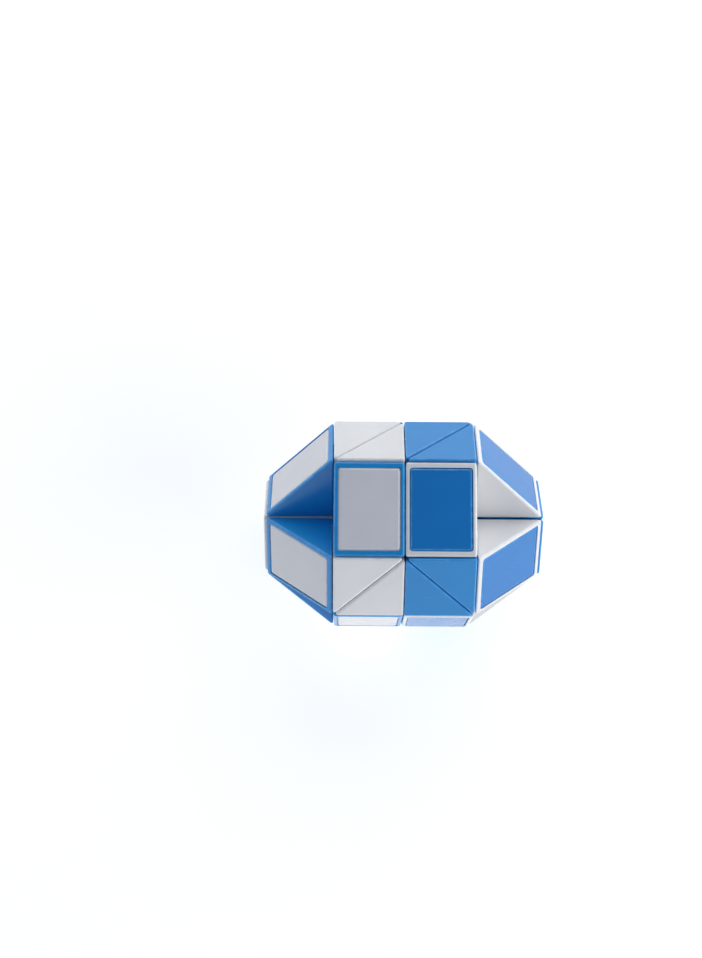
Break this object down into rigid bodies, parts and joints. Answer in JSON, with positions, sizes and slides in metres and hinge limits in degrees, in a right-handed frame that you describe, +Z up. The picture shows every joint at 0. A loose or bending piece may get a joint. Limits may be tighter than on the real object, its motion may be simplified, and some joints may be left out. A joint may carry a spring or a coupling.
{
  "type": "twisty snake puzzle",
  "caption": "Blue and white snake puzzle of right-angled wedges on sprung swivels, folded into a long eight-sided egg with sloping ends; one end flap swings open.",
  "frame": {"origin": "under the middle of the folded egg, on the surface that it lies on", "axes": "+X along the egg's long axis, +Z up; the egg lies on one of its eight long sides"},
  "size_m": [0.0798, 0.0564, 0.0564],
  "materials": {
    "blue_plastic": "moulded deep blue ABS, satin gloss",
    "white_plastic": "moulded white ABS, satin gloss",
    "steel": "zinc-plated steel hardware"
  },
  "bodies": {
    "folded_chain": {"body_screws": "steel", "body_springs": "steel", "body_washers": "steel", "flap_pivot_screw": "steel", "wedge_04_white_shell": "white_plastic", "wedge_05_blue_shell": "blue_plastic", "wedge_06_white_shell": "white_plastic", "wedge_07_blue_shell": "blue_plastic", "wedge_08_white_shell": "white_plastic", "wedge_09_blue_shell": "blue_plastic", "wedge_10_white_shell": "white_plastic", "wedge_11_blue_shell": "blue_plastic", "wedge_12_white_shell": "white_plastic", "wedge_13_blue_shell": "blue_plastic", "wedge_14_white_shell": "white_plastic", "wedge_15_blue_shell": "blue_plastic", "wedge_16_white_shell": "white_plastic", "wedge_17_blue_shell": "blue_plastic", "wedge_18_white_shell": "white_plastic", "wedge_19_blue_shell": "blue_plastic", "wedge_20_white_shell": "white_plastic", "wedge_21_blue_shell": "blue_plastic", "wedge_22_white_shell": "white_plastic", "wedge_23_blue_shell": "blue_plastic", "wedge_24_white_shell": "white_plastic", "wedge_25_blue_shell": "blue_plastic", "wedge_26_white_shell": "white_plastic", "wedge_27_blue_shell": "blue_plastic", "wedge_28_white_shell": "white_plastic", "wedge_29_blue_shell": "blue_plastic", "wedge_30_white_shell": "white_plastic", "wedge_31_blue_shell": "blue_plastic", "wedge_32_white_shell": "white_plastic", "wedge_33_blue_shell": "blue_plastic", "wedge_34_white_shell": "white_plastic", "wedge_35_blue_shell": "blue_plastic", "wedge_36_white_shell": "white_plastic", "wedges_04_to_11_blue_caps": "blue_plastic", "wedges_04_to_11_white_caps": "white_plastic", "wedges_12_to_19_blue_caps": "blue_plastic", "wedges_12_to_19_white_caps": "white_plastic", "wedges_20_to_27_blue_caps": "blue_plastic", "wedges_20_to_27_white_caps": "white_plastic", "wedges_28_to_36_blue_caps": "blue_plastic", "wedges_28_to_36_white_caps": "white_plastic"},
    "end_flap": {"flap_screws": "steel", "flap_springs": "steel", "flap_washers": "steel", "wedge_01_blue_shell": "blue_plastic", "wedge_02_white_shell": "white_plastic", "wedge_03_blue_shell": "blue_plastic", "wedges_01_to_03_blue_caps": "blue_plastic", "wedges_01_to_03_white_caps": "white_plastic"}
  },
  "joints": [
    {"name": "flap_swivel", "type": "hinge", "parent": "folded_chain", "child": "end_flap", "pos_m": [-0.02, -0.01414, 0.04233], "axis": [1, 0, 0], "range_deg": [0, 215]}
  ]
}
